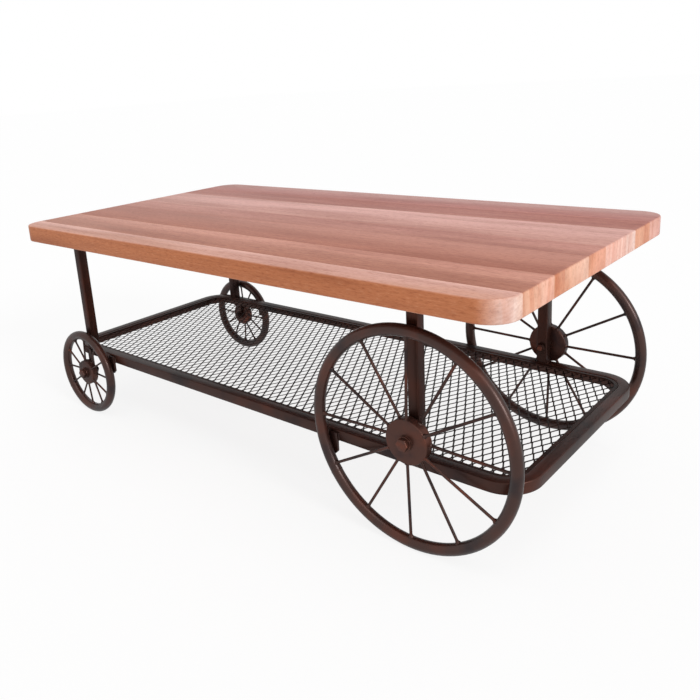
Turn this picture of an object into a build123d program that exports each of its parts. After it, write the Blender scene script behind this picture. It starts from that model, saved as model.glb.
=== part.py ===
from build123d import *
import os
from math import hypot, sqrt

# Wagon wheel table: a glued plank top on four tube posts, a bent tube shelf frame with an
# expanded metal shelf, two large spoked wheels at the rear end and two small ones at the front.
# Millimetres. +X is the rear end (large wheels), +Y the right side, +Z up. The origin is on the
# floor, in the middle of the whole table.
LENGTH = 1200.0  # of the whole table, over the top and the wheels

# ---- top ---------------------------------------------------------------------------------
TOP_FRONT_SETBACK = 20.0  # from the front end of the table in to the top
TOP_WIDTH = 640.0
TOP_THICK = 35.0
TOP_CORNER_R = 45.0
TOP_EDGE_EASE = 2.5
# widths of the staves from the left side on; the last stave takes what is left of the top
STAVE_WIDTHS = (50.0, 96.0, 121.0, 68.0, 133.0, 74.0)
WHEEL_HEADROOM = 45.0  # under the top, above the large wheels

# ---- square tube of the frame --------------------------------------------------------------
TUBE = 20.0
TUBE_WALL = 1.5
RAIL_TOP_Z = 157.0
RAIL_SETBACK = 80.0  # from the sides of the top in to the rails' outer faces
FRAME_FRONT_SETBACK = 24.0
FRAME_REAR_SETBACK = 6.0
FRAME_BEND_R = 60.0  # outside of the bent corners
VENT_R = 4.0  # holes under the posts that vent the rails while they are coated

# ---- expanded metal shelf ------------------------------------------------------------------
# The trade sheet has 17 x 29 mm cells and 2 mm strands. It is drawn with larger cells and
# strands in the same proportion, so that it keeps its weight with fewer faces.
MESH_SHORT_WAY = 85.0
MESH_LONG_WAY = 145.0
MESH_STRAND = 10.0
MESH_THICK = 1.6
BORDER_WIDE = 7.0
BORDER_THICK = 4.0
BORDER_DROP = 1.0  # from the rails' top faces down to the border bar
MESH_EDGE_GAP = 1.0

# ---- posts' plates and screws --------------------------------------------------------------
PLATE_LONG = 80.0
PLATE_WIDE = 30.0
PLATE_THICK = 4.0
SCREW_SPACING = 56.0
SCREW_R = 2.5
SCREW_FLATS = 8  # flats that stand for a screw's round shank, and for the holes round it
SCREW_LENGTH = 26.0
SCREW_HEAD_FLATS = 8.0
SCREW_HEAD_THICK = 3.5
SCREW_HOLE_GAP = 0.25  # around a screw in its plate
PILOT_GAP = 0.02  # around a screw in the wood

# ---- wheels --------------------------------------------------------------------------------
REAR_WHEEL_DIA = 380.0
FRONT_WHEEL_DIA = 200.0
REAR_WHEEL_SETBACK = 0.0  # from the rear end of the table in to the wheel
FRONT_WHEEL_SETBACK = 0.0
RIM_R = 10.0  # of the round bar of a rim
RIM_FLATS = 12  # flats that stand for the bar's round section
RIM_SIDE_GAP = 5.0  # between the rails' outer faces and the rims
SPOKE_COUNT = 12
SPOKE_FLATS = 8  # flats that stand for a spoke's round section
REAR_SPOKE_R = 3.0
FRONT_SPOKE_R = 2.5
REAR_SPOKE_STAGGER = 5.0  # of the spokes' hub ends, to either side of the rim's middle
FRONT_SPOKE_STAGGER = 4.0
REAR_HUB_R = 38.0
FRONT_HUB_R = 29.0
REAR_HUB_WIDE = 18.0
FRONT_HUB_WIDE = 16.0
HUB_SHOULDER = 3.0
WELD_GAP = 0.2  # left where a weld runs

# ---- axles ---------------------------------------------------------------------------------
AXLE_R = 6.0
THREAD_R = 5.0
BUSH_WALL = 3.0
BUSH_FLANGE_R = 13.0
BUSH_FLANGE_THICK = 1.5
HEAD_FLATS = 19.0
HEAD_THICK = 7.5
NUT_FLATS = 16.0
NUT_THICK = 8.0
WASHER_R = 12.0
WASHER_THICK = 2.5
SPACER_R = 11.0
THREAD_PAST_NUT = 2.5
RUNNING_GAP = 0.05  # radial, between axle and bush
PRESS_GAP = 0.01  # radial, between bush and hub
HOLE_GAP = 0.2  # radial, around a thread
END_PLAY = 0.3  # along the axle, on each side of the hub

# ---- flat bar pieces -----------------------------------------------------------------------
BAR_THICK = 4.7
LUG_WIDE = 18.0
LUG_DROP = 25.0  # below the rails
LUG_TOP_SETBACK = 4.0  # below the rails' top faces
LUG_OFFSET = 12.0  # behind the place where the rim crosses the rail
LUG_CORNER = 7.0
HANGER_WIDE = 16.0

# ---- worked out from the above -------------------------------------------------------------
REAR_R = REAR_WHEEL_DIA / 2
FRONT_R = FRONT_WHEEL_DIA / 2
REAR_X = LENGTH / 2 - REAR_WHEEL_SETBACK - REAR_R
FRONT_X = -LENGTH / 2 + FRONT_WHEEL_SETBACK + FRONT_R
TOP_LENGTH = LENGTH - TOP_FRONT_SETBACK
TOP_X = TOP_FRONT_SETBACK / 2
TOP_UNDERSIDE_Z = REAR_WHEEL_DIA + WHEEL_HEADROOM
RAIL_OUT_Y = TOP_WIDTH / 2 - RAIL_SETBACK
RAIL_Y = RAIL_OUT_Y - TUBE / 2
RAIL_IN_Y = RAIL_OUT_Y - TUBE
RAIL_BOTTOM_Z = RAIL_TOP_Z - TUBE
RAIL_MIDDLE_Z = RAIL_TOP_Z - TUBE / 2
RIM_Y = RAIL_OUT_Y + RIM_SIDE_GAP + RIM_R
FRAME_FRONT_X = -LENGTH / 2 + FRAME_FRONT_SETBACK
FRAME_REAR_X = LENGTH / 2 - FRAME_REAR_SETBACK
FRAME_X = (FRAME_FRONT_X + FRAME_REAR_X) / 2
FRAME_LENGTH = FRAME_REAR_X - FRAME_FRONT_X
FRAME_WIDTH = 2 * RAIL_OUT_Y
BORDER_TOP_Z = RAIL_TOP_Z - BORDER_DROP
MESH_TOP_Z = BORDER_TOP_Z - BORDER_THICK
POST_TOP_Z = TOP_UNDERSIDE_Z - PLATE_THICK
BUSH_R = AXLE_R + RUNNING_GAP + BUSH_WALL

ENDS = {"front": FRONT_X, "rear": REAR_X}
SIDES = {"left": -1, "right": 1}


def ring_plate(inset, thick):
    """A plate of the frame's outline, smaller by inset all round."""
    return extrude(
        RectangleRounded(
            FRAME_LENGTH - 2 * inset, FRAME_WIDTH - 2 * inset, FRAME_BEND_R - inset
        ),
        thick,
    )


def on_side(piece, side):
    """A piece made for the left side, or its mirror image for the right side."""
    return piece if side < 0 else mirror(piece, about=Plane.XZ)


def across(radius, near, far, x=0.0, z=0.0):
    """A round bar along Y on the left side, from near to far out from the middle plane."""
    plane = Plane(origin=(x, -near, z), x_dir=(1, 0, 0), z_dir=(0, -1, 0))
    return extrude(plane * Circle(radius), far - near)


# ---- top -----------------------------------------------------------------------------------
def screw_places():
    """The x and y of every screw, one in front of and one behind each post."""
    half = SCREW_SPACING / 2
    return [
        (x + offset, side * RAIL_Y)
        for x in ENDS.values()
        for side in SIDES.values()
        for offset in (-half, half)
    ]


def top_slab():
    slab = extrude(RectangleRounded(TOP_LENGTH, TOP_WIDTH, TOP_CORNER_R), TOP_THICK)
    faces = slab.faces().sort_by(Axis.Z)
    slab = chamfer(faces[-1].edges() + faces[0].edges(), TOP_EDGE_EASE)
    return Pos(TOP_X, 0, TOP_UNDERSIDE_Z) * slab


def pilot_holes():
    """Holes in the wood, a little longer than the part of a screw that is in it."""
    depth = SCREW_LENGTH - PLATE_THICK + PILOT_GAP
    hole = extrude(RegularPolygon(SCREW_R + PILOT_GAP, SCREW_FLATS), depth)
    return [Pos(x, y, TOP_UNDERSIDE_Z) * hole for x, y in screw_places()]


def top_staves():
    slab = top_slab() - pilot_holes()
    edges = [-TOP_WIDTH / 2]
    for width in STAVE_WIDTHS:
        edges.append(edges[-1] + width)
    edges.append(TOP_WIDTH / 2)
    staves = {}
    for number, (low, high) in enumerate(zip(edges, edges[1:]), 1):
        strip = Box(TOP_LENGTH, high - low, TOP_THICK)
        middle = Pos(TOP_X, (low + high) / 2, TOP_UNDERSIDE_Z + TOP_THICK / 2)
        staves[f"top_stave_{number}"] = slab & middle * strip
    return staves


# ---- shelf ---------------------------------------------------------------------------------
def shelf_frame():
    """One closed ring of square tube, with a vent hole under each post."""
    ring = ring_plate(0, TUBE) - ring_plate(TUBE, TUBE)
    bore = ring_plate(TUBE_WALL, TUBE - 2 * TUBE_WALL)
    bore -= ring_plate(TUBE - TUBE_WALL, TUBE - 2 * TUBE_WALL)
    ring -= Pos(0, 0, TUBE_WALL) * bore
    ring = Pos(FRAME_X, 0, RAIL_BOTTOM_Z) * ring
    for x in ENDS.values():
        for side in SIDES.values():
            ring -= Pos(x, side * RAIL_Y, RAIL_TOP_Z) * Cylinder(VENT_R, 3 * TUBE_WALL)
    return ring


def mesh_border():
    """A flat bar round the inside of the frame, which the sheet is welded under."""
    bar = ring_plate(TUBE + WELD_GAP, BORDER_THICK)
    bar -= ring_plate(TUBE + BORDER_WIDE, BORDER_THICK)
    return Pos(FRAME_X, 0, MESH_TOP_Z) * bar


def mesh_cell():
    """The opening of one cell: the cell's diamond, less half a strand on each edge."""
    half_x, half_y = MESH_SHORT_WAY / 2, MESH_LONG_WAY / 2
    share = 1 - MESH_STRAND / 2 * hypot(1 / half_x, 1 / half_y)
    open_x, open_y = share * half_x, share * half_y
    corners = [(open_x, 0), (0, open_y), (-open_x, 0), (0, -open_y)]
    return make_face(Polyline(*corners, close=True))


def shelf_mesh():
    """The expanded sheet: rows of diamonds, every other row half a cell along."""
    inset = TUBE + MESH_EDGE_GAP
    sheet = RectangleRounded(
        FRAME_LENGTH - 2 * inset, FRAME_WIDTH - 2 * inset, FRAME_BEND_R - inset
    )
    edge = TUBE + BORDER_WIDE
    field = RectangleRounded(
        FRAME_LENGTH - 2 * edge, FRAME_WIDTH - 2 * edge, FRAME_BEND_R - edge
    )
    cell = mesh_cell()
    across_x = int(FRAME_LENGTH / MESH_SHORT_WAY) + 1
    across_y = int(FRAME_WIDTH / MESH_LONG_WAY) + 1
    openings = []
    for row in range(-across_y, across_y + 1):
        for column in range(-across_x, across_x + 1):
            if (row + column) % 2:
                continue
            x, y = column * MESH_SHORT_WAY / 2, row * MESH_LONG_WAY / 2
            openings += (Pos(x, y) * cell & field).faces()
    sheet -= openings
    return Pos(FRAME_X, 0, MESH_TOP_Z - MESH_THICK) * extrude(sheet, MESH_THICK)


# ---- posts, plates and screws ----------------------------------------------------------------
def post(x):
    """A left post: open tube from the rail to its plate."""
    length = POST_TOP_Z - RAIL_TOP_Z
    inside = TUBE - 2 * TUBE_WALL
    tube = Box(TUBE, TUBE, length) - Box(inside, inside, length)
    tube = Pos(x, -RAIL_Y, RAIL_TOP_Z + length / 2) * tube
    if x == REAR_X:
        tube -= across(THREAD_R + HOLE_GAP, 0, RIM_Y, x, REAR_R)
    return tube


def plate(x):
    """A left plate, with a hole for each of its screws."""
    hole = RegularPolygon(SCREW_R + SCREW_HOLE_GAP, SCREW_FLATS)
    holes = GridLocations(SCREW_SPACING, 0, 2, 1) * hole
    outline = Rectangle(PLATE_LONG, PLATE_WIDE) - holes
    return Pos(x, -RAIL_Y, POST_TOP_Z) * extrude(outline, PLATE_THICK)


def screw():
    """A hexagon head wood screw, pointing up, with the underside of its head at z = 0."""
    flats = RegularPolygon(SCREW_HEAD_FLATS / 2, 6, major_radius=False)
    shank = extrude(RegularPolygon(SCREW_R, SCREW_FLATS), SCREW_LENGTH)
    return extrude(flats, -SCREW_HEAD_THICK) + shank


def plate_screws():
    one = screw()
    return Compound([Pos(x, y, POST_TOP_Z) * one for x, y in screw_places()])


# ---- flat bar pieces -------------------------------------------------------------------------
def flat_bar(outline, x, z):
    """A left piece of flat bar on the rail's outer face, from an outline drawn in x and z."""
    plane = Plane(origin=(x, -RAIL_OUT_Y, z), x_dir=(1, 0, 0), z_dir=(0, -1, 0))
    return extrude(plane * outline, BAR_THICK)


def lug(x, radius):
    """The block that the rim rubs on, just behind where the rim crosses the rail."""
    reach = sqrt((radius - RIM_R) ** 2 - (radius - RAIL_MIDDLE_Z) ** 2)
    crossing = x + reach if x == FRONT_X else x - reach
    half = LUG_WIDE / 2
    high = TUBE / 2 - LUG_TOP_SETBACK
    low = -TUBE / 2 - LUG_DROP
    outline = Polyline(
        (-half, high),
        (half, high),
        (half, low + LUG_CORNER),
        (half - LUG_CORNER, low),
        (-half, low),
        close=True,
    )
    return flat_bar(make_face(outline), crossing + LUG_OFFSET, RAIL_MIDDLE_Z)


def hanger():
    """The drop plate that carries a front axle below the rail."""
    half = HANGER_WIDE / 2
    rise = RAIL_TOP_Z - LUG_TOP_SETBACK - FRONT_R
    outline = Pos(0, rise / 2) * Rectangle(HANGER_WIDE, rise) + Circle(half)
    outline -= Circle(THREAD_R + HOLE_GAP)
    return flat_bar(outline, FRONT_X, FRONT_R)


# ---- wheels ----------------------------------------------------------------------------------
def wheel_sizes(end):
    """Radius, spoke radius, stagger, hub radius and hub width of a wheel."""
    if end == "rear":
        return REAR_R, REAR_SPOKE_R, REAR_SPOKE_STAGGER, REAR_HUB_R, REAR_HUB_WIDE
    return FRONT_R, FRONT_SPOKE_R, FRONT_SPOKE_STAGGER, FRONT_HUB_R, FRONT_HUB_WIDE


def rim_ring(radius, bar_r):
    """A ring round the Y axis, revolved from its lowest place."""
    section = Pos(0, -(radius - RIM_R)) * RegularPolygon(bar_r, RIM_FLATS)
    plane = Plane(origin=(0, 0, 0), x_dir=(0, 1, 0), z_dir=(1, 0, 0))
    return revolve(plane * section, Axis.Y)


def spokes(end):
    """Straight rods, by turns from the outer and the inner side of the hub to the rim."""
    radius, spoke_r, stagger, hub_r = wheel_sizes(end)[:4]
    start_r = hub_r + WELD_GAP
    finish_r = radius - 2 * RIM_R - WELD_GAP
    rods = []
    for number in range(SPOKE_COUNT):
        offset = -stagger if number % 2 else stagger
        lean = offset * (radius - RIM_R - finish_r) / (radius - RIM_R - start_r)
        start, finish = Vector(start_r, offset, 0), Vector(finish_r, lean, 0)
        along = finish - start
        section = Plane(origin=start, z_dir=along) * RegularPolygon(spoke_r, SPOKE_FLATS)
        rod = extrude(section, along.length)
        rods.append(Rot(0, number * 360 / SPOKE_COUNT, 0) * rod)
    return Compound(rods)


def hub(end):
    """A drum with turned-down shoulders, bored for its bush."""
    hub_r, hub_wide = wheel_sizes(end)[3:]
    drum = across(hub_r, -hub_wide / 2, hub_wide / 2)
    drum = chamfer(drum.edges().filter_by(GeomType.CIRCLE), HUB_SHOULDER)
    return drum - across(BUSH_R + PRESS_GAP, -hub_wide, hub_wide)


def bush(end):
    """A plain bush with its flange on the outer side of the hub."""
    hub_wide = wheel_sizes(end)[4]
    sleeve = across(BUSH_R, -hub_wide / 2, hub_wide / 2)
    flange = across(BUSH_FLANGE_R, hub_wide / 2, hub_wide / 2 + BUSH_FLANGE_THICK)
    bore = across(AXLE_R + RUNNING_GAP, -hub_wide, hub_wide)
    return sleeve + flange - bore


def wheel(end, side):
    """The four nodes of a wheel in its place."""
    radius = wheel_sizes(end)[0]
    pieces = {
        "rim": rim_ring(radius, RIM_R),
        "spokes": spokes(end),
        "hub": hub(end),
        "bush": bush(end),
    }
    place = Pos(ENDS[end], -RIM_Y, radius)
    return {name: on_side(place * piece, side) for name, piece in pieces.items()}


# ---- axles -----------------------------------------------------------------------------------
def hexagon(flats, near, far, x, z):
    """A hexagonal bar along Y on the left side, from near to far out."""
    plane = Plane(origin=(x, -near, z), x_dir=(1, 0, 0), z_dir=(0, -1, 0))
    return extrude(plane * RegularPolygon(flats / 2, 6, major_radius=False), far - near)


def axle(end):
    """The left axle set: a shoulder bolt with its washer, spacer and nut."""
    radius, hub_wide = wheel_sizes(end)[0], wheel_sizes(end)[4]
    x, z = ENDS[end], radius
    hub_in, hub_out = RIM_Y - hub_wide / 2, RIM_Y + hub_wide / 2
    seat_out = RAIL_OUT_Y if end == "rear" else RAIL_OUT_Y + BAR_THICK
    seat_in = RAIL_IN_Y if end == "rear" else RAIL_OUT_Y
    shoulder = hub_in - END_PLAY
    washer = hub_out + BUSH_FLANGE_THICK + END_PLAY
    head = washer + WASHER_THICK
    nut = seat_in - NUT_THICK
    tail = nut - THREAD_PAST_NUT
    bolt = hexagon(HEAD_FLATS, head, head + HEAD_THICK, x, z)
    bolt += across(AXLE_R, shoulder, head, x, z)
    bolt += across(THREAD_R, tail, shoulder, x, z)
    nut_thread = across(THREAD_R + PRESS_GAP, 0, head, x, z)
    spacer_hole = across(THREAD_R + HOLE_GAP, 0, head, x, z)
    axle_hole = across(AXLE_R + HOLE_GAP, 0, head, x, z)
    return {
        "bolts": bolt,
        "washers": across(WASHER_R, washer, head, x, z) - axle_hole,
        "spacers": across(SPACER_R, seat_out, shoulder, x, z) - spacer_hole,
        "nuts": hexagon(NUT_FLATS, nut, seat_in, x, z) - nut_thread,
    }


# ---- all nodes -------------------------------------------------------------------------------
def table():
    nodes = top_staves()
    nodes["shelf_frame"] = shelf_frame()
    nodes["mesh_border"] = mesh_border()
    nodes["shelf_mesh"] = shelf_mesh()
    nodes["plate_screws"] = plate_screws()
    for end, x in ENDS.items():
        axle_pieces = axle(end)
        for name, piece in axle_pieces.items():
            pair = [on_side(piece, side) for side in SIDES.values()]
            nodes[f"{end}_axle_{name}"] = Compound(pair)
        for side_name, side in SIDES.items():
            corner = f"{end}_{side_name}"
            nodes[f"{corner}_post"] = on_side(post(x), side)
            nodes[f"{corner}_plate"] = on_side(plate(x), side)
            nodes[f"{corner}_lug"] = on_side(lug(x, wheel_sizes(end)[0]), side)
            if end == "front":
                nodes[f"{corner}_hanger"] = on_side(hanger(), side)
            for name, piece in wheel(end, side).items():
                nodes[f"{corner}_{name}"] = piece
    return nodes


os.makedirs("parts", exist_ok=True)
for node, shape in table().items():
    export_step(shape, f"parts/{node}.step")
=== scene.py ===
"""Wagon wheel table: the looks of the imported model, laid out as a Blender add-on.

A glued hardwood top stands on four square tube legs. They are welded to a bent tube frame that
holds an expanded metal shelf, and the frame hangs between two large and two small spoked wheels.
Metres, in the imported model's frame: +X is the end with the large wheels, -Y is the left side.
"""

import math

import bmesh
import bpy
from bpy.props import FloatProperty, FloatVectorProperty, IntProperty, PointerProperty
from mathutils import Matrix, Vector


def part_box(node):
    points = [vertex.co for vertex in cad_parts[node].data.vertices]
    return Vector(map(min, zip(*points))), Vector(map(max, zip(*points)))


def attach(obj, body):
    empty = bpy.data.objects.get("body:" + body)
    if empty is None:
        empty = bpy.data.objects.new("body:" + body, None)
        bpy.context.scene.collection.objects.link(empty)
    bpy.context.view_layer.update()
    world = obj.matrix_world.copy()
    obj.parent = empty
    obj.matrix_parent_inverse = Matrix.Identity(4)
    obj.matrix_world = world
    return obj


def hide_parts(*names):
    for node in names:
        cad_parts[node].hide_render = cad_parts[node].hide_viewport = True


bl_info = {
    "name": "Wagon wheel table",
    "version": (1, 0, 0),
    "blender": (4, 5, 0),
    "location": "3D View > Sidebar > Table",
    "description": "Builds a plank top table on spoked wheels around its packed model",
    "category": "Object",
}

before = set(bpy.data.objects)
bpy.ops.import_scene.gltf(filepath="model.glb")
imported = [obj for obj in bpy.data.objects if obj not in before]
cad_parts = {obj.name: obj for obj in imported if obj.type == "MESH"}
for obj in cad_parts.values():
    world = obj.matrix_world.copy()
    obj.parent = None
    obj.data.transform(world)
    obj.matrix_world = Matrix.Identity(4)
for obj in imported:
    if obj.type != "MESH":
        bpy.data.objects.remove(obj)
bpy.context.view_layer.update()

MM = 0.001
ENDS = ("front", "rear")
OUTWARDS = {"left": -1, "right": 1}
CORNERS = [(end, side) for end in ENDS for side in OUTWARDS]
STAVES = sorted(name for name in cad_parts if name.startswith("top_stave_"))

# the axles' fits. A hair more room than on paper keeps the facets of two round faces apart.
SHANK_R = 0.0058
BORE_R = 0.0062
SLEEVE_R = 0.00905
THREAD_R = 0.005
THREAD_ROOT_R = 0.0044
BOLT_TIP_R = 0.0002
HEAD_FLATS = 19 * MM
NUT_FLATS = 16 * MM
NUT_THICK = 8 * MM
WASHER_THICK = 2.5 * MM


# ---- colours and materials -----------------------------------------------------------------------
def linear(hex_code):
    """A scene linear colour from an sRGB hex code such as B5703F."""
    channels = [int(hex_code[i : i + 2], 16) / 255 for i in (0, 2, 4)]
    return tuple(
        c / 12.92 if c <= 0.04045 else ((c + 0.055) / 1.055) ** 2.4 for c in channels
    )


def with_alpha(colour):
    return (*colour, 1.0)


def add(tree, kind, settings=None, inputs=None):
    """Adds a node to a tree. An input is a value, or the output that it is linked to."""
    made = tree.nodes.new(kind)
    for name, value in (settings or {}).items():
        setattr(made, name, value)
    for key, value in (inputs or {}).items():
        if isinstance(value, bpy.types.NodeSocket):
            tree.links.new(value, made.inputs[key])
        else:
            made.inputs[key].default_value = value
    return made


def empty_material(name):
    material = bpy.data.materials.new(name)
    material.use_nodes = True
    material.node_tree.nodes.clear()
    return material, material.node_tree


def show(tree, shader):
    add(tree, "ShaderNodeOutputMaterial", None, {"Surface": shader.outputs[0]})


def share_of(tree, value, low, high, most=1.0):
    """A soft step from 0 up to a most, while a value goes from low to high."""
    step = add(
        tree,
        "ShaderNodeMapRange",
        {"interpolation_type": "SMOOTHSTEP"},
        {"Value": value, "From Min": low, "From Max": high, "To Min": 0.0, "To Max": most},
    )
    return step.outputs[0]


def blend(tree, share, first, second, kind="MIX"):
    """One colour laid over another by a share. A colour is an output or a linear colour."""
    inputs = {0: share}
    for key, colour in ((6, first), (7, second)):
        inputs[key] = colour if isinstance(colour, bpy.types.NodeSocket) else with_alpha(colour)
    mixed = add(tree, "ShaderNodeMix", {"data_type": "RGBA", "blend_type": kind}, inputs)
    return mixed.outputs[2]


def squared(tree, value):
    return add(
        tree, "ShaderNodeMath", {"operation": "MULTIPLY"}, {0: value, 1: value}
    ).outputs[0]


def oiled_hardwood(name, board, low, high, shift):
    """Plantation hardwood, planed, glued up and wiped with satin oil.

    Each board goes from the tone of its left edge to the tone of its right edge in broad bands
    along the grain, with fine streaks and open pores over them. Growth rings show as arcs on the
    end grain, which is paler and more orange than the faces.
    """
    material, tree = empty_material(name)
    place = add(tree, "ShaderNodeTexCoord")
    along = place.outputs["Object"]
    moved = add(tree, "ShaderNodeMapping", None, {"Vector": along, "Location": shift}).outputs[0]

    def noise(scale, detail, roughness, distortion=0.0):
        """Noise stretched along the grain. The scale is in cells to a metre."""
        stretched = add(tree, "ShaderNodeMapping", None, {"Vector": moved, "Scale": scale})
        made = add(
            tree,
            "ShaderNodeTexNoise",
            None,
            {
                "Vector": stretched.outputs[0],
                "Scale": 1.0,
                "Detail": detail,
                "Roughness": roughness,
                "Distortion": distortion,
            },
        )
        return made.outputs[0]

    # how far across the board a place is, with the bands wandering 30 mm to either side
    bands = noise((1.6, 11, 11), 2.0, 0.5, 0.4)
    wander = add(
        tree,
        "ShaderNodeMapRange",
        None,
        {"Value": bands, "From Min": 0.3, "From Max": 0.7, "To Min": -0.030, "To Max": 0.030},
    )
    across = add(tree, "ShaderNodeSeparateXYZ", None, {"Vector": along})
    across = add(
        tree,
        "ShaderNodeMath",
        {"operation": "ADD"},
        {0: across.outputs["Y"], 1: wander.outputs[0]},
    )
    share = share_of(tree, across.outputs[0], low.y, high.y)
    # the top's tones: the wood's own colour with painted sheen in it
    face = blend(tree, share, linear(board["face"][0]), linear(board["face"][1]))
    ends = blend(tree, share, linear(board["end"][0]), linear(board["end"][1]))

    # the sawn ends and the planed sides get colours of their own; the top's paler, pinker tones
    # carry painted sheen over the wood's own colour
    normal = add(tree, "ShaderNodeSeparateXYZ", None, {"Vector": place.outputs["Normal"]})
    end_share = squared(tree, normal.outputs["X"])
    side_share = squared(tree, normal.outputs["Y"])
    wood = blend(tree, side_share, face, linear(SIDE_WOOD))

    # pores, drawn 1.2 mm wide and 14 mm long so that they show, among flecks twice as wide
    flecks = noise((75, 420, 420), 2.0, 0.7)
    wood = blend(tree, share_of(tree, flecks, 0.50, 0.76, 0.45), wood, linear("B07052"), "MULTIPLY")
    wood = blend(tree, share_of(tree, flecks, 0.46, 0.24, 0.16), wood, linear("FFD2AA"))
    pores = share_of(tree, noise((70, 820, 820), 2.0, 0.6), 0.52, 0.74, 0.30)
    wood = blend(tree, pores, wood, linear("8A4E34"), "MULTIPLY")

    # upright bands 11 mm wide on the ends
    upright = share_of(tree, noise((1, 90, 8), 2.0, 0.5), 0.40, 0.68, 0.4)
    ends = blend(tree, upright, ends, linear("E2A282"), "MULTIPLY")
    wood = blend(tree, end_share, wood, ends)

    # clouds about 60 mm wide and 500 mm long, then streaks about 6 mm wide and 120 mm long
    clouds = share_of(tree, noise((2.0, 17, 17), 2.0, 0.5), 0.38, 0.7, 0.34)
    wood = blend(tree, clouds, wood, linear("A87A66"), "MULTIPLY")
    streaks = share_of(tree, noise((8, 160, 160), 3.0, 0.6), 0.42, 0.75, 0.22)
    wood = blend(tree, streaks, wood, linear("9A6552"), "MULTIPLY")

    # growth rings 5 mm apart round a pith that lies beside or below the board
    pith_y, pith_z = board["pith"]
    middle = (low + high) / 2
    centred = add(
        tree,
        "ShaderNodeMapping",
        None,
        {
            "Vector": along,
            "Location": (shift[0] * 0.07, -middle.y - pith_y, -middle.z - pith_z),
            "Scale": (0.07, 1, 1),
        },
    )
    rings = add(
        tree,
        "ShaderNodeTexWave",
        {"wave_type": "RINGS", "rings_direction": "X", "wave_profile": "SIN"},
        {
            "Vector": centred.outputs[0],
            "Scale": 62.0,
            "Distortion": 5.0,
            "Detail": 2.0,
            "Detail Scale": 0.35,
            "Detail Roughness": 0.55,
        },
    )
    on_ends = add(
        tree,
        "ShaderNodeMapRange",
        None,
        {"Value": end_share, "From Min": 0.0, "From Max": 1.0, "To Min": 0.05, "To Max": 0.12},
    )
    ring_share = add(
        tree,
        "ShaderNodeMath",
        {"operation": "MULTIPLY"},
        {0: on_ends.outputs[0], 1: rings.outputs["Fac"]},
    )
    wood = blend(tree, ring_share.outputs[0], wood, linear("D89A74"), "MULTIPLY")

    dents = add(
        tree,
        "ShaderNodeBump",
        {"invert": True},
        {"Strength": 0.25, "Distance": 0.0002, "Height": pores},
    )
    gloss = add(
        tree,
        "ShaderNodeMapRange",
        None,
        {"Value": bands, "From Min": 0.3, "From Max": 0.7, "To Min": 0.48, "To Max": 0.58},
    )
    oil = add(
        tree,
        "ShaderNodeBsdfPrincipled",
        None,
        {
            "Base Color": wood,
            "Roughness": gloss.outputs[0],
            "IOR": 1.5,
            "Specular IOR Level": 0.2,
            "Normal": dents.outputs[0],
        },
    )
    show(tree, oil)
    return material


def powder_coat(name, brown, red, dark, patch_mm, red_share, roughness, film):
    """Bronze powder coat baked on steel tube and bar.

    A satin film with bronze flakes in it and a slight orange peel. Redder and darker clouds show
    where the powder lay thin or thick.
    """
    material, tree = empty_material(name)
    spot = add(tree, "ShaderNodeTexCoord").outputs["Object"]
    clouds = add(
        tree,
        "ShaderNodeTexNoise",
        None,
        {"Vector": spot, "Scale": 1 / (patch_mm * MM), "Detail": 3.0, "Roughness": 0.5},
    ).outputs[0]
    colour = blend(tree, share_of(tree, clouds, 0.5, 0.7, red_share), brown, red)
    colour = blend(tree, share_of(tree, clouds, 0.48, 0.3, 0.8), colour, dark)
    gloss = add(
        tree,
        "ShaderNodeMapRange",
        None,
        {
            "Value": clouds,
            "From Min": 0.25,
            "From Max": 0.75,
            "To Min": roughness + 0.05,
            "To Max": roughness - 0.05,
        },
    )
    # orange peel of about 1.5 mm
    peel = add(
        tree,
        "ShaderNodeTexNoise",
        None,
        {"Vector": spot, "Scale": 1 / (1.5 * MM), "Detail": 1.0},
    )
    skin = add(
        tree,
        "ShaderNodeBump",
        None,
        {"Strength": 0.12, "Distance": 0.0001, "Height": peel.outputs[0]},
    )
    film = add(
        tree,
        "ShaderNodeBsdfPrincipled",
        None,
        {
            "Base Color": colour,
            "Metallic": 0.6,
            "Roughness": gloss.outputs[0],
            "IOR": 1.5,
            "Specular Tint": with_alpha(linear("5C4E4A")),
            "Coat Weight": film,
            "Coat Roughness": 0.3,
            "Normal": skin.outputs[0],
        },
    )
    show(tree, film)
    return material


# ---- settings ------------------------------------------------------------------------------------
class TableTopSettings(bpy.types.PropertyGroup):
    corner_round: FloatProperty(
        name="Corner radius",
        description="Radius of the top's four corners",
        default=0.045,
        unit="LENGTH",
    )
    edge_round: FloatProperty(
        name="Edge radius",
        description="Radius along the upper and lower edges",
        default=0.0025,
        unit="LENGTH",
    )
    joint_ease: FloatProperty(
        name="Joint ease",
        description="Depth of the fine groove along each glue line",
        default=0.00035,
        unit="LENGTH",
    )


class ShelfSettings(bpy.types.PropertyGroup):
    bend_round: FloatProperty(
        name="Bend radius",
        description="Outer radius of the frame's bent corners",
        default=0.06,
        unit="LENGTH",
    )
    tube_edge: FloatProperty(
        name="Tube edge radius",
        description="Radius of the square tube's long edges",
        default=0.002,
        unit="LENGTH",
    )
    cell_short: FloatProperty(
        name="Cell, short way",
        description="Length of an expanded metal cell along the table",
        default=0.0175,
        unit="LENGTH",
    )
    cell_long: FloatProperty(
        name="Cell, long way",
        description="Length of an expanded metal cell across the table",
        default=0.0325,
        unit="LENGTH",
    )
    strand_wide: FloatProperty(
        name="Strand width",
        description="Width of the cut strands",
        default=0.0027,
        unit="LENGTH",
    )
    strand_thick: FloatProperty(
        name="Strand thickness",
        description="Thickness of the sheet that is expanded",
        default=0.0012,
        unit="LENGTH",
    )
    strand_tilt: FloatProperty(
        name="Strand tilt",
        description="How far the strands stand up out of the sheet",
        default=math.radians(14),
        subtype="ANGLE",
    )
    knuckle: FloatProperty(
        name="Knuckle length",
        description="Uncut length where two strands join",
        default=0.0024,
        unit="LENGTH",
    )


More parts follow.
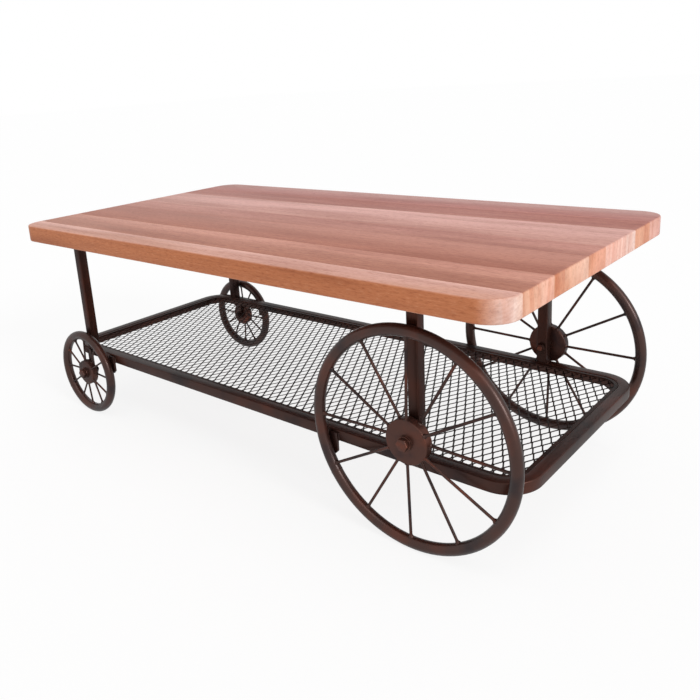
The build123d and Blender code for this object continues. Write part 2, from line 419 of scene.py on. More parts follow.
class WheelSettings(bpy.types.PropertyGroup):
    rear_spoke: FloatProperty(
        name="Large wheel spoke",
        description="Diameter of a large wheel's spokes",
        default=0.005,
        unit="LENGTH",
    )
    front_spoke: FloatProperty(
        name="Small wheel spoke",
        description="Diameter of a small wheel's spokes",
        default=0.0042,
        unit="LENGTH",
    )
    rear_stagger: FloatProperty(
        name="Large wheel stagger",
        description="How far spokes leave the hub to either side of its middle",
        default=0.005,
        unit="LENGTH",
    )
    front_stagger: FloatProperty(
        name="Small wheel stagger",
        description="How far spokes leave the hub to either side of its middle",
        default=0.004,
        unit="LENGTH",
    )
    spoke_count: IntProperty(
        name="Spokes", description="Spokes in a wheel", default=12, min=4, max=24
    )
    weld_flare: FloatProperty(
        name="Weld flare",
        description="How much wider a spoke gets where it is welded",
        default=0.002,
        unit="LENGTH",
    )


class CoatSettings(bpy.types.PropertyGroup):
    brown: FloatVectorProperty(
        name="Coat",
        description="Bronze powder coat, main colour",
        default=linear("3F2822"),
        subtype="COLOR",
        size=3,
    )
    red: FloatVectorProperty(
        name="Thin coat",
        description="Redder colour where the coat is thin",
        default=linear("642F1C"),
        subtype="COLOR",
        size=3,
    )
    dark: FloatVectorProperty(
        name="Thick coat",
        description="Darker colour where the coat is thick",
        default=linear("221A1D"),
        subtype="COLOR",
        size=3,
    )


class StageSettings(bpy.types.PropertyGroup):
    floor: FloatVectorProperty(
        name="Floor",
        description="Colour of the floor",
        default=linear("FAFAFA"),
        subtype="COLOR",
        size=3,
    )
    surround: FloatProperty(
        name="Surround",
        description="Strength of the even light from all round",
        default=0.55,
    )
    key: FloatProperty(
        name="Key light",
        description="Strength of the soft light from above",
        default=0.9,
    )
    side: FloatProperty(
        name="Side light",
        description="Strength of the soft light from beyond the large wheels' end",
        default=1.3,
    )


# ---- mesh helpers --------------------------------------------------------------------------------
def block(low, high):
    """A cube stretched to fill a box."""
    bm = bmesh.new()
    bmesh.ops.create_cube(bm, size=1.0)
    bmesh.ops.scale(bm, vec=high - low, verts=bm.verts)
    bmesh.ops.translate(bm, vec=(low + high) / 2, verts=bm.verts)
    return bm


def edges_along(bm, axis):
    """The straight edges that run along axis 0, 1 or 2."""
    found = []
    for edge in bm.edges:
        run = (edge.verts[0].co - edge.verts[1].co).normalized()
        if abs(run[axis]) > 0.999:
            found.append(edge)
    return found


def edges_at(bm, axis, place, edges=None):
    """The edges that lie in a plane across an axis."""
    return [
        edge
        for edge in (edges or bm.edges)
        if all(abs(vert.co[axis] - place) < 1e-6 for vert in edge.verts)
    ]


def sharp_edges(bm, degrees=50):
    bm.normal_update()
    limit = math.radians(degrees)
    return [e for e in bm.edges if e.is_manifold and e.calc_face_angle() > limit]


def round_off(bm, edges, radius, segments):
    bmesh.ops.bevel(
        bm,
        geom=edges,
        offset=radius,
        segments=segments,
        profile=0.5,
        affect="EDGES",
        material=-1,
        clamp_overlap=True,
    )


def new_piece(name, bm, material, body, slot, *nodes, sharp=35):
    """Closes a mesh, turns its faces outwards and puts it on its body in place of its nodes."""
    bmesh.ops.remove_doubles(bm, verts=bm.verts, dist=1e-6)
    bmesh.ops.dissolve_degenerate(bm, edges=bm.edges, dist=1e-7)
    bmesh.ops.recalc_face_normals(bm, faces=bm.faces)
    holes = sum(not edge.is_manifold for edge in bm.edges)
    if holes:
        raise ValueError(f"{name} has {holes} open edges")
    mesh = bpy.data.meshes.new(name)
    bm.to_mesh(mesh)
    bm.free()
    mesh.materials.append(material)
    mesh.shade_smooth()
    mesh.set_sharp_from_angle(angle=math.radians(sharp))
    piece = bpy.data.objects.new(name, mesh)
    bpy.context.scene.collection.objects.link(piece)
    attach(piece, body)
    if nodes:
        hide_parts(*nodes)
    return piece


def whole_box(nodes):
    """The box round several nodes."""
    boxes = [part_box(node) for node in nodes]
    low = Vector(min(box[0][i] for box in boxes) for i in range(3))
    high = Vector(max(box[1][i] for box in boxes) for i in range(3))
    return low, high


def close_cuts(bm):
    """Closes the openings that cuts have left."""
    bmesh.ops.remove_doubles(bm, verts=bm.verts, dist=5e-6)
    for fill in (bmesh.ops.holes_fill, bmesh.ops.edgeloop_fill):
        fill(bm, edges=[edge for edge in bm.edges if edge.is_boundary])


def keep_inside(bm, point, outwards):
    """Cuts off whatever lies past a plane."""
    bmesh.ops.bisect_plane(
        bm,
        geom=bm.verts[:] + bm.edges[:] + bm.faces[:],
        dist=1e-7,
        plane_co=point,
        plane_no=outwards,
        clear_outer=True,
    )


def push_face(bm, face, offset, scale=1.0):
    """Extrudes a face, moves it and scales it about its middle. Gives the new end face."""
    inside = any(len(edge.link_faces) > 1 for edge in face.edges)
    grown = bmesh.ops.extrude_face_region(bm, geom=[face])["geom"]
    end = next(item for item in grown if isinstance(item, bmesh.types.BMFace))
    if inside and face.is_valid:
        bmesh.ops.delete(bm, geom=[face], context="FACES_ONLY")
    bmesh.ops.translate(bm, vec=offset, verts=end.verts)
    if scale != 1.0:
        middle = end.calc_center_median()
        bmesh.ops.scale(
            bm,
            vec=(scale, scale, scale),
            space=Matrix.Translation(-middle),
            verts=end.verts,
        )
    return end


def rod(bm, start, along, stations, segments=12):
    """A round rod through stations of distance and radius, closed at both ends."""
    along = along.normalized()
    turn = along.to_track_quat("Z", "Y").to_matrix().to_4x4()
    first, radius = stations[0]
    place = Matrix.Translation(start + along * first) @ turn
    ring = bmesh.ops.create_circle(
        bm, cap_ends=True, radius=radius, segments=segments, matrix=place
    )["verts"]
    face = ring[0].link_faces[0]
    for (before, old), (after, new) in zip(stations, stations[1:]):
        face = push_face(bm, face, along * (after - before), new / old)


def turned(bm, profile, centre, outwards, steps):
    """Spins a closed outline of radius and distance outwards about an axle."""
    verts = [
        bm.verts.new(centre + Vector((0, outwards * reach, -radius)))
        for radius, reach in profile
    ]
    edges = [bm.edges.new(pair) for pair in zip(verts, verts[1:] + verts[:1])]
    bmesh.ops.spin(
        bm,
        geom=verts + edges,
        cent=centre,
        axis=(0, 1, 0),
        angle=math.tau,
        steps=steps,
        use_merge=True,
    )


def hexagon_bar(bm, flats, centre, outwards, near, far):
    """A six-sided bar along the axle, with a corner to the front and one to the rear."""
    upright = Matrix.Rotation(math.radians(90), 4, "X") @ Matrix.Rotation(math.radians(30), 4, "Z")
    place = Matrix.Translation(centre + Vector((0, outwards * near, 0))) @ upright
    ring = bmesh.ops.create_circle(
        bm,
        cap_ends=True,
        radius=flats / 2 / math.cos(math.radians(30)),
        segments=6,
        matrix=place,
    )["verts"]
    push_face(bm, ring[0].link_faces[0], Vector((0, outwards * (far - near), 0)))


def bead(bm, start, finish, radius, flat=0.7):
    """A weld: a row of overlapping drops, each a little flattened, from start to finish."""
    run = finish - start
    count = max(2, round(run.length / (radius * 0.7)))
    for number in range(count + 1):
        wobble = 1 + 0.12 * math.sin(number * 2.4)
        place = Matrix.Translation(start + run * number / count)
        place = place @ Matrix.Diagonal((wobble, wobble, flat * wobble, 1))
        bmesh.ops.create_icosphere(bm, subdivisions=2, radius=radius, matrix=place)


def coat(context, name, patch_mm=60, red_share=0.4, roughness=0.40, tone=1.0, film=0.35):
    """The coat in the colours of the settings, lighter or darker by a tone, under a clear film."""
    settings = context.scene.table_coat
    colours = [
        tuple(channel * tone for channel in colour)
        for colour in (settings.brown, settings.red, settings.dark)
    ]
    return powder_coat(name, *colours, patch_mm, red_share, roughness, film)


# ---- the top -------------------------------------------------------------------------------------
# Each stave's own board: the tones of its top and of its end grain at its left and right edge, and
# where its pith lies from its middle, across and up. The top's tones are paler and pinker than the
# long sides: the wood's own colour with painted sheen in it.
BOARDS = (
    {"face": ("D6A08C", "ECBCAF"), "end": ("F2DCD4", "F2D2C2"), "pith": (0.06, -0.14)},
    {"face": ("B47660", "D19684"), "end": ("E9B598", "F0C0AA"), "pith": (0.25, -0.05)},
    {"face": ("B0705C", "BE8474"), "end": ("E09E78", "F0C6B0"), "pith": (-0.30, 0.10)},
    {"face": ("BA8072", "C48C80"), "end": ("DE9E7E", "E4A68C"), "pith": (0.28, 0.02)},
    {"face": ("CA968A", "E0B0A8"), "end": ("EEC0B0", "F0D4CA"), "pith": (0.22, -0.12)},
    {"face": ("B3776C", "A96B60"), "end": ("E6AE90", "D69C80"), "pith": (-0.22, -0.08)},
    {"face": ("B4766E", "BE928C"), "end": ("E2AE9C", "E8C2BE"), "pith": (0.30, 0.05)},
)
SIDE_WOOD = "C37950"  # the long planed edges


class TABLE_OT_top(bpy.types.Operator):
    """Builds the seven staves of the top"""

    bl_idname = "table.top"
    bl_label = "Top"

    def execute(self, context):
        settings = context.scene.table_top
        low, high = whole_box(STAVES)
        for number, (node, board) in enumerate(zip(STAVES, BOARDS), 1):
            bm = block(low, high)
            round_off(bm, edges_along(bm, 2), settings.corner_round, 12)
            rims = edges_at(bm, 2, low.z) + edges_at(bm, 2, high.z)
            round_off(bm, rims, settings.edge_round, 3)
            near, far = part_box(node)
            joints = []
            if near.y > low.y + MM:
                keep_inside(bm, near, (0, -1, 0))
                close_cuts(bm)
                joints.append(near.y)
            if far.y < high.y - MM:
                keep_inside(bm, far, (0, 1, 0))
                close_cuts(bm)
                joints.append(far.y)
            upper = [
                edge
                for joint in joints
                for edge in edges_at(bm, 1, joint)
                if min(vert.co.z for vert in edge.verts) > high.z - MM / 10
            ]
            round_off(bm, upper, settings.joint_ease, 1)
            material = oiled_hardwood(
                f"oiled_hardwood_{number}",
                board,
                near,
                far,
                (0.61 * number, 0.37 * number, 0.13 * number),
            )
            new_piece(f"plank_{number}", bm, material, "table", "top_wood", node)
        return {"FINISHED"}


# ---- the shelf -----------------------------------------------------------------------------------
def bent_ring(low, high, corner, wide, ease, segments):
    """A closed ring of bar with rounded corners, as wide as given and as high as the box."""
    bm = block(low, high)
    round_off(bm, edges_along(bm, 2), corner, 14)
    for place in (low.z, high.z):
        bm.normal_update()
        flat = [
            face
            for face in bm.faces
            if abs(face.normal.z) > 0.9 and abs(face.calc_center_median().z - place) < 1e-6
        ]
        bmesh.ops.inset_region(bm, faces=flat, thickness=wide, use_even_offset=True)
        bmesh.ops.delete(bm, geom=flat, context="FACES")
    inner = [edge for edge in bm.edges if edge.is_boundary]
    bmesh.ops.bridge_loops(bm, edges=inner)
    round_off(bm, sharp_edges(bm), ease, segments)
    return bm


class TABLE_OT_shelf_frame(bpy.types.Operator):
    """Builds the bent tube frame and the border bar inside it"""

    bl_idname = "table.shelf_frame"
    bl_label = "Shelf frame"

    def execute(self, context):
        settings = context.scene.table_shelf
        low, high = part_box("shelf_frame")
        tube = high.z - low.z
        bm = bent_ring(low, high, settings.bend_round, tube, settings.tube_edge, 3)
        material = coat(context, "bronze_coat_frame", patch_mm=90, film=0.25)
        new_piece("bent_tube_ring", bm, material, "table", "frame_steel", "shelf_frame")

        near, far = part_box("mesh_border")
        corner = settings.bend_round - (near.x - low.x)
        bm = bent_ring(near, far, corner, 0.007, 0.0006, 1)
        material = coat(context, "bronze_coat_border", patch_mm=35, tone=0.7, film=0.1)
        new_piece("border_bar", bm, material, "table", "mesh_steel", "mesh_border")
        return {"FINISHED"}


class TABLE_OT_shelf_mesh(bpy.types.Operator):
    """Builds the expanded metal sheet, strand by strand"""

    bl_idname = "table.shelf_mesh"
    bl_label = "Shelf mesh"

    def execute(self, context):
        settings = context.scene.table_shelf
        low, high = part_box("shelf_mesh")
        frame_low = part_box("shelf_frame")[0]
        half_short, half_long = settings.cell_short / 2, settings.cell_long / 2
        tilt = settings.strand_tilt
        wide, thick = settings.strand_wide, settings.strand_thick
        lift = wide * math.sin(tilt)
        side_step = wide * math.cos(tilt) * 0.92
        rise = wide * math.sin(tilt) + thick * math.cos(tilt) / 2

        # one strand's section, across the table's long way, tilted
        bm = bmesh.new()
        section = bmesh.ops.create_grid(bm, x_segments=1, y_segments=1, size=0.5)["verts"]
        bmesh.ops.scale(bm, vec=(wide, thick, 1), verts=section)
        upright = Matrix.Rotation(-tilt, 4, "Y") @ Matrix.Rotation(math.radians(90), 4, "X")
        pairs = int((high.x - low.x) / settings.cell_short)
        spare = (high.x - low.x) - pairs * settings.cell_short
        columns = math.ceil((high.y - low.y) / settings.cell_long) + 2
        start = Vector((low.x + spare / 2, low.y - settings.cell_long, high.z - rise))
        start += Vector((side_step / 2, 0, lift / 2))
        bmesh.ops.transform(bm, matrix=Matrix.Translation(start) @ upright, verts=section)

        # out to the next knuckle and back again
        face = section[0].link_faces[0]
        knuckle = Vector((0, settings.knuckle, 0))
        over = Vector((half_short - side_step, half_long - settings.knuckle, -lift))
        back = Vector((-over.x, over.y, -over.z))
        for _ in range(columns):
            for step in (knuckle, over, knuckle, back):
                face = push_face(bm, face, step)
        twin = bmesh.ops.duplicate(bm, geom=bm.verts[:] + bm.edges[:] + bm.faces[:])["geom"]
        twin_verts = [item for item in twin if isinstance(item, bmesh.types.BMVert)]
        bmesh.ops.translate(bm, vec=(half_short, half_long, 0), verts=twin_verts)
        bmesh.ops.spin(
            bm,
            geom=bm.verts[:] + bm.edges[:] + bm.faces[:],
            cent=(0, 0, 0),
            axis=(0, 0, 1),
            dvec=(settings.cell_short, 0, 0),
            angle=0,
            steps=pairs - 1,
            use_duplicate=True,
        )

        # trimmed at its two long sides, and across the corners, under the border bar
        corner = settings.bend_round - (low.x - frame_low.x)
        slant = math.sqrt(0.5)
        for x, across_x in ((low.x, -1), (high.x, 1)):
            for y, across_y in ((low.y, -1), (high.y, 1)):
                keep_inside(bm, (0, y, 0), (0, across_y, 0))
                away = Vector((across_x * slant, across_y * slant, 0))
                middle = Vector((x - across_x * corner, y - across_y * corner, 0))
                keep_inside(bm, middle + away * (corner - 1.83 * MM), away)
        close_cuts(bm)
        material = coat(
            context, "bronze_coat_mesh", patch_mm=120, red_share=0.3, tone=0.5, film=0.0
        )
        new_piece("expanded_sheet", bm, material, "table", "mesh_steel", "shelf_mesh", sharp=20)
        return {"FINISHED"}


# ---- legs and flat bar ---------------------------------------------------------------------------
class TABLE_OT_legs(bpy.types.Operator):
    """Builds the four legs, their plates and the welds at both ends"""

    bl_idname = "table.legs"
    bl_label = "Legs"

    def execute(self, context):
        settings = context.scene.table_shelf
        # the legs' coat is toned down to 0.85: painted shade on the legs, their plates and their
        # welds, which stand in shade under the top
        material = coat(context, "bronze_coat_legs_shaded", patch_mm=110, tone=0.85, film=0.15)
        welds = bmesh.new()
        for end, side in CORNERS:
            corner = f"{end}_{side}"
            low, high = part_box(f"{corner}_post")
            bm = block(low, high)
            round_off(bm, edges_along(bm, 2), settings.tube_edge, 3)
            new_piece(f"{corner}_leg", bm, material, "table", "frame_steel", f"{corner}_post")

            near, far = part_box(f"{corner}_plate")
            bm = block(near, far)
            round_off(bm, edges_along(bm, 2), 0.004, 4)
            round_off(bm, sharp_edges(bm), 0.0005, 2)
            new_piece(
                f"{corner}_leg_plate", bm, material, "table", "frame_steel", f"{corner}_plate"
            )

            inset = 3 * MM
            for x in (low.x, high.x):
                for z in (low.z, high.z):
                    bead(
                        welds,
                        Vector((x, low.y + inset, z)),
                        Vector((x, high.y - inset, z)),
                        2.2 * MM,
                    )
        new_piece("leg_welds", welds, material, "table", "frame_steel", sharp=60)
        return {"FINISHED"}


class TABLE_OT_flat_bar(bpy.types.Operator):
    """Builds the lugs beside the rims and the drop plates of the small wheels' axles"""

    bl_idname = "table.flat_bar"
    bl_label = "Lugs and drop plates"

    def execute(self, context):
        material = coat(context, "bronze_coat_flat_bar", patch_mm=40, tone=0.8)
        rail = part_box("shelf_frame")
        welds = bmesh.new()
        for end, side in CORNERS:
            corner = f"{end}_{side}"
            low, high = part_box(f"{corner}_lug")
            bm = block(low, high)
            cut = edges_at(bm, 2, low.z, edges_at(bm, 0, high.x))
            round_off(bm, cut, 0.007, 1)
            round_off(bm, sharp_edges(bm, 30), 0.0006, 2)
            new_piece(f"{corner}_rub_lug", bm, material, "table", "frame_steel", f"{corner}_lug")
            shapes = [(low, high)]
            if end == "front":
                near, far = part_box(f"{corner}_hanger")
                bm = block(near, far)
                half = (far.x - near.x) / 2
                round_off(bm, edges_at(bm, 2, near.z, edges_along(bm, 1)), half, 9)
                round_off(bm, sharp_edges(bm, 60), 0.0006, 2)
                new_piece(
                    f"{corner}_drop_plate", bm, material, "table", "frame_steel", f"{corner}_hanger"
                )
                shapes.append((near, far))
            face = low.y if side == "right" else high.y
            for near, far in shapes:
                for x in (near.x, far.x):
                    bead(
                        welds,
                        Vector((x, face, rail[0].z + 2 * MM)),
                        Vector((x, face, far.z - 2 * MM)),
                        1.8 * MM,
                        1.0,
                    )
        new_piece("flat_bar_welds", welds, material, "table", "frame_steel", sharp=60)
        return {"FINISHED"}


# ---- wheels --------------------------------------------------------------------------------------
class TABLE_OT_wheels(bpy.types.Operator):
    """Builds the four wheels: rim, spokes, hub and bush"""

    bl_idname = "table.wheels"
    bl_label = "Wheels"

    def execute(self, context):
        settings = context.scene.table_wheels
        rim_coat = coat(context, "bronze_coat_rims", patch_mm=70, tone=1.05, film=0.5)
        spoke_coat = coat(context, "bronze_coat_spokes", patch_mm=50, red_share=0.6)
        hub_coat = coat(context, "bronze_coat_hubs", patch_mm=60, tone=1.6, film=0.2)
        for end, side in CORNERS:
            corner = f"{end}_{side}"
            body = f"{corner}_wheel"
            outwards = OUTWARDS[side]
            low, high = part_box(f"{corner}_rim")
            centre = (low + high) / 2
            radius, bar = (high.z - low.z) / 2, (high.y - low.y) / 2
            middle_r = radius - bar

            # the rim is one bar rolled to a ring
            bm = bmesh.new()
            upright = Matrix.Rotation(math.radians(90), 4, "Y")
            place = Matrix.Translation(centre - Vector((0, 0, middle_r))) @ upright
            ring = bmesh.ops.create_circle(bm, radius=bar, segments=20, matrix=place)["verts"]
            edges = list({edge for vert in ring for edge in vert.link_edges})
            bmesh.ops.spin(
                bm,
                geom=ring + edges,
                cent=centre,
                axis=(0, 1, 0),
                angle=math.tau,
                steps=112 if end == "rear" else 72,
                use_merge=True,
            )
            # and its ends are butt welded
            seam = math.radians(214)
            away = Vector((math.cos(seam), 0, math.sin(seam)))
            along = Vector((-away.z, 0, away.x))
            weld = [
                (-2.2 * MM, bar * 0.97),
                (-1.2 * MM, bar + 0.35 * MM),
                (1.2 * MM, bar + 0.35 * MM),
                (2.2 * MM, bar * 0.97),
            ]
            rod(bm, centre + away * middle_r, along, weld, 20)
            new_piece(f"{corner}_rolled_rim", bm, rim_coat, body, "wheel_steel", f"{corner}_rim")

            # spokes leave the hub by turns from its outer and its inner side
            hub_low, hub_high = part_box(f"{corner}_hub")
            hub_r, hub_wide = (hub_high.z - hub_low.z) / 2, hub_high.y - hub_low.y
            spoke_r = (settings.rear_spoke if end == "rear" else settings.front_spoke) / 2
            stagger = settings.rear_stagger if end == "rear" else settings.front_stagger
            flare = spoke_r + settings.weld_flare
            bm = bmesh.new()
            for number in range(settings.spoke_count):
                angle = math.tau * number / settings.spoke_count
                away = Vector((math.cos(angle), 0, -math.sin(angle)))
                reach = stagger if number % 2 else -stagger
                offset = Vector((0, outwards * reach, 0))
                start = centre + away * (hub_r - 1.5 * MM) + offset
                finish = centre + away * (middle_r - bar + 1.5 * MM)
                finish += offset * (bar - 1.5 * MM) / (middle_r - hub_r)
                run = (finish - start).length
                rod(
                    bm,
                    start,
                    finish - start,
                    [
                        (0, flare),
                        (1.6 * MM, flare),
                        (3.2 * MM, spoke_r + 0.3 * MM),
                        (5.5 * MM, spoke_r),
                        (run - 7 * MM, spoke_r),
                        (run - 4 * MM, spoke_r + 0.4 * MM),
                        (run - 2 * MM, flare),
                        (run, flare + 0.8 * MM),
                    ],
                )
            new_piece(
                f"{corner}_spoke_set", bm, spoke_coat, body, "wheel_steel", f"{corner}_spokes"
            )

            # the hub is a slice of round bar, faced and bored
            bush_low, bush_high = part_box(f"{corner}_bush")
            flange_r = (bush_high.z - bush_low.z) / 2
            flange_thick = (bush_high.y - bush_low.y) - hub_wide
            half = hub_wide / 2
            bm = bmesh.new()
            outline = [(SLEEVE_R, -half), (hub_r, -half), (hub_r, half), (SLEEVE_R, half)]
            turned(bm, outline, centre, outwards, 64)
            shoulders = [
                edge
                for edge in sharp_edges(bm)
                if (edge.verts[0].co - centre).xz.length > hub_r / 2
            ]
            round_off(bm, shoulders, 0.0022, 3)
            new_piece(f"{corner}_turned_hub", bm, hub_coat, body, "wheel_steel", f"{corner}_hub")

            bm = bmesh.new()
            outline = [
                (BORE_R, -half),
                (SLEEVE_R, -half),
                (SLEEVE_R, half),
                (flange_r, half),
                (flange_r, half + flange_thick),
                (BORE_R, half + flange_thick),
            ]
            turned(bm, outline, centre, outwards, 40)
            round_off(bm, sharp_edges(bm), 0.0003, 1)
            # sprayed over together with the wheel
            new_piece(f"{corner}_flanged_bush", bm, hub_coat, body, "bush_bronze", f"{corner}_bush")
        return {"FINISHED"}


# ---- axles and screws ----------------------------------------------------------------------------
class TABLE_OT_fasteners(bpy.types.Operator):
    """Builds the axle bolts with their washers, spacers and nuts, and the plates' wood screws"""

    bl_idname = "table.fasteners"
    bl_label = "Fasteners"

    def execute(self, context):
        material = coat(
            context, "bronze_coat_fasteners", patch_mm=30, roughness=0.36, tone=1.7, film=0.2
        )
        # the nuts and spacers get a coat toned down to 0.6: painted shade, so that they sit as dark
        # as the shade round them
        shaded_inner_material = coat(context, "bronze_coat_nuts_shaded", patch_mm=30, tone=0.6, film=0.1)
        rail_low, rail_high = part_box("shelf_frame")
        for end in ENDS:
            pieces = {part: bmesh.new() for part in ("bolts", "washers", "spacers", "nuts")}
            for side, outwards in OUTWARDS.items():
                low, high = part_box(f"{end}_{side}_rim")
                centre = (low + high) / 2
                base = Vector((centre.x, 0, centre.z))
                head, washer_far, spacer_far, nut_far = (
                    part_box(f"{end}_axle_{part}")[1].y for part in pieces
                )
                washer_near = washer_far - WASHER_THICK
                nut_near = nut_far - NUT_THICK
                thread_end = nut_near - 2.5 * MM

                hexagon_bar(pieces["bolts"], HEAD_FLATS, base, outwards, washer_far, head)
                outline = [
                    (BOLT_TIP_R, head - 1 * MM),
                    (SHANK_R, head - 1 * MM),
                    (SHANK_R, spacer_far),
                    (THREAD_R, spacer_far),
                ]
                # the thread shows only past the nut
                place = thread_end + 3.2 * MM
                while place > thread_end + 0.6 * MM:
                    outline += [(THREAD_R, place), (THREAD_ROOT_R, place - 0.5 * MM)]
                    place -= 1.0 * MM
                outline += [(THREAD_ROOT_R, thread_end), (BOLT_TIP_R, thread_end)]
                turned(pieces["bolts"], outline, base, outwards, 24)

                # a spacer starts at its post, or at its drop plate
                spacer_near = nut_far + (rail_high.z - rail_low.z)
                if end == "front":
                    spacer_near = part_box("front_right_hanger")[1].y
                for part, inner_r, outer_r, near, far in (
                    ("washers", BORE_R, 0.012, washer_near, washer_far),
                    ("spacers", 0.0052, 0.011, spacer_near, spacer_far),
                ):
                    ring = [(inner_r, near), (outer_r, near), (outer_r, far), (inner_r, far)]
                    turned(pieces[part], ring, base, outwards, 40)
                hexagon_bar(pieces["nuts"], NUT_FLATS, base, outwards, nut_near, nut_far)
            round_off(pieces["washers"], sharp_edges(pieces["washers"]), 0.0005, 2)
            round_off(pieces["spacers"], sharp_edges(pieces["spacers"]), 0.0004, 1)
            for part in ("bolts", "nuts"):
                # the six long edges round each end of a hexagon
                around = [
                    edge
                    for edge in sharp_edges(pieces[part])
                    if abs(edge.verts[0].co.y - edge.verts[1].co.y) < 1e-6
                    and edge.calc_length() > 8 * MM
                ]
                round_off(pieces[part], around, 0.0009, 2)
            for part, bm in pieces.items():
                new_piece(
                    f"{end}_axle_{part[:-1]}_pair",
                    bm,
                    shaded_inner_material if part in ("nuts", "spacers") else material,
                    "table",
                    "fastener_steel",
                    f"{end}_axle_{part}",
                )

        # wood screws, one in front of and one behind each leg
        bm = bmesh.new()
        low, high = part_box("plate_screws")
        for end, side in CORNERS:
            near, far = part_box(f"{end}_{side}_plate")
            middle = (near + far) / 2
            for offset in (-0.028, 0.028):
                foot = Vector((middle.x + offset, middle.y, 0))
                place = Matrix.Translation(foot + Vector((0, 0, low.z)))
                ring = bmesh.ops.create_circle(
                    bm, cap_ends=True, radius=0.0046, segments=6, matrix=place
                )["verts"]
                push_face(bm, ring[0].link_faces[0], Vector((0, 0, near.z - low.z)))
                length = high.z - near.z
                shank = [(-1 * MM, 0.0025), (length - 5 * MM, 0.0025), (length, 0.0006)]
                rod(bm, foot + Vector((0, 0, near.z)), Vector((0, 0, 1)), shank, 10)
        round_off(bm, edges_at(bm, 2, low.z), 0.0007, 2)
        new_piece("leg_plate_screws", bm, material, "table", "fastener_steel", "plate_screws")
        return {"FINISHED"}


# ---- the stage -----------------------------------------------------------------------------------
CAMERA_PLACE = (0.9951, -1.1058, 0.7365)
CAMERA_HEADING = math.radians(-42.14)
CAMERA_TILT = math.radians(16.05)
CAMERA_ROLL = math.radians(-3.67)
CAMERA_LENS = 37.77
CAMERA_SHIFT = (0.057, -0.086)


def shown_white(tree, rays):
    """1 for a ray from the camera, a mirror or glass, and 0 for one that only lights things."""
    seen = rays.outputs["Is Camera Ray"]
    for other in ("Is Glossy Ray", "Is Transmission Ray"):
        seen = add(
            tree, "ShaderNodeMath", {"operation": "MAXIMUM"}, {0: seen, 1: rays.outputs[other]}
        ).outputs[0]
    return seen


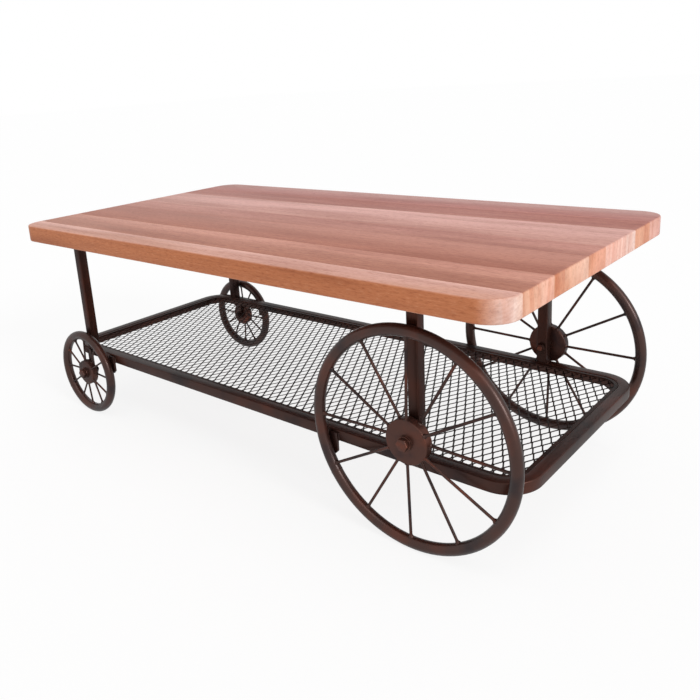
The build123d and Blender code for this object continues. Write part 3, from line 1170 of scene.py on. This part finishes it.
class TABLE_OT_stage(bpy.types.Operator):
    """Builds the floor, the lights and the camera"""

    bl_idname = "table.stage"
    bl_label = "Stage"

    def execute(self, context):
        settings = context.scene.table_stage
        scene = context.scene
        scene.view_settings.view_transform = "Standard"

        # a pale floor, nearly white to the camera, that still takes the table's shadow
        bm = bmesh.new()
        bmesh.ops.create_grid(bm, x_segments=1, y_segments=1, size=30)
        mesh = bpy.data.meshes.new("floor")
        bm.to_mesh(mesh)
        bm.free()
        floor = bpy.data.objects.new("floor", mesh)
        scene.collection.objects.link(floor)
        material, tree = empty_material("matt_white_paper")
        rays = add(tree, "ShaderNodeLightPath")
        paper = add(tree, "ShaderNodeBsdfDiffuse", None, {"Color": with_alpha(settings.floor)})
        glow = add(tree, "ShaderNodeEmission", None, {"Color": (1, 1, 1, 1), "Strength": 1.0})
        seen = add(
            tree,
            "ShaderNodeMath",
            {"operation": "MULTIPLY"},
            {0: shown_white(tree, rays), 1: 0.85},
        )
        mixed = add(
            tree,
            "ShaderNodeMixShader",
            None,
            {0: seen.outputs[0], 1: paper.outputs[0], 2: glow.outputs[0]},
        )
        show(tree, mixed)
        mesh.materials.append(material)

        # an even white surround
        world = bpy.data.worlds.new("white_surround")
        scene.world = world
        world.use_nodes = True
        tree = world.node_tree
        tree.nodes.clear()
        rays = add(tree, "ShaderNodeLightPath")
        strength = add(
            tree,
            "ShaderNodeMapRange",
            None,
            {"Value": shown_white(tree, rays), "To Min": settings.surround, "To Max": 1.0},
        )
        light = add(
            tree,
            "ShaderNodeBackground",
            None,
            {"Color": (1, 1, 1, 1), "Strength": strength.outputs[0]},
        )
        add(tree, "ShaderNodeOutputWorld", None, {"Surface": light.outputs[0]})

        # soft lights from above, and from low down beyond the large wheels' end
        for name, strength, degrees, towards in (
            ("key_light", settings.key, 50, (-0.35, 0.15, -0.92)),
            ("side_light", settings.side, 16, (-0.88, 0.14, -0.42)),
        ):
            lamp = bpy.data.lights.new(name, "SUN")
            lamp.energy = strength
            lamp.angle = math.radians(degrees)
            light = bpy.data.objects.new(name, lamp)
            scene.collection.objects.link(light)
            light.rotation_euler = Vector(towards).to_track_quat("-Z", "Y").to_euler()

        lens = bpy.data.cameras.new("camera")
        lens.lens = CAMERA_LENS
        lens.sensor_width = 36
        lens.shift_x, lens.shift_y = CAMERA_SHIFT
        lens.clip_start = 0.05
        camera = bpy.data.objects.new("camera", lens)
        scene.collection.objects.link(camera)
        ahead = Vector(
            (
                math.sin(CAMERA_HEADING) * math.cos(CAMERA_TILT),
                math.cos(CAMERA_HEADING) * math.cos(CAMERA_TILT),
                -math.sin(CAMERA_TILT),
            )
        )
        right = ahead.cross((0, 0, 1)).normalized()
        above = right.cross(ahead)
        roll = Matrix.Rotation(CAMERA_ROLL, 3, -ahead)
        right, above = roll @ right, roll @ above
        turn = Matrix((right, above, -ahead)).transposed().to_4x4()
        camera.matrix_world = Matrix.Translation(CAMERA_PLACE) @ turn
        scene.camera = camera
        return {"FINISHED"}


# ---- panel and registration ----------------------------------------------------------------------
OPERATORS = (
    TABLE_OT_top,
    TABLE_OT_shelf_frame,
    TABLE_OT_shelf_mesh,
    TABLE_OT_legs,
    TABLE_OT_flat_bar,
    TABLE_OT_wheels,
    TABLE_OT_fasteners,
    TABLE_OT_stage,
)
SETTINGS = {
    "table_top": TableTopSettings,
    "table_shelf": ShelfSettings,
    "table_wheels": WheelSettings,
    "table_coat": CoatSettings,
    "table_stage": StageSettings,
}


class TABLE_PT_panel(bpy.types.Panel):
    """Sizes, colours and build steps of the table"""

    bl_idname = "TABLE_PT_panel"
    bl_label = "Wagon wheel table"
    bl_space_type = "VIEW_3D"
    bl_region_type = "UI"
    bl_category = "Table"

    def draw(self, context):
        layout = self.layout
        for name in SETTINGS:
            group = getattr(context.scene, name)
            box = layout.box()
            for setting in group.__annotations__:
                box.prop(group, setting)
        for operator in OPERATORS:
            layout.operator(operator.bl_idname)


def register():
    for settings in SETTINGS.values():
        bpy.utils.register_class(settings)
    for name, settings in SETTINGS.items():
        setattr(bpy.types.Scene, name, PointerProperty(type=settings))
    for operator in OPERATORS:
        bpy.utils.register_class(operator)
    bpy.utils.register_class(TABLE_PT_panel)


def unregister():
    bpy.utils.unregister_class(TABLE_PT_panel)
    for operator in reversed(OPERATORS):
        bpy.utils.unregister_class(operator)
    for name in SETTINGS:
        delattr(bpy.types.Scene, name)
    for settings in reversed(SETTINGS.values()):
        bpy.utils.unregister_class(settings)


def main():
    register()
    for operator in OPERATORS:
        group, name = operator.bl_idname.split(".")
        getattr(getattr(bpy.ops, group), name)()


if __name__ == "__main__":
    main()
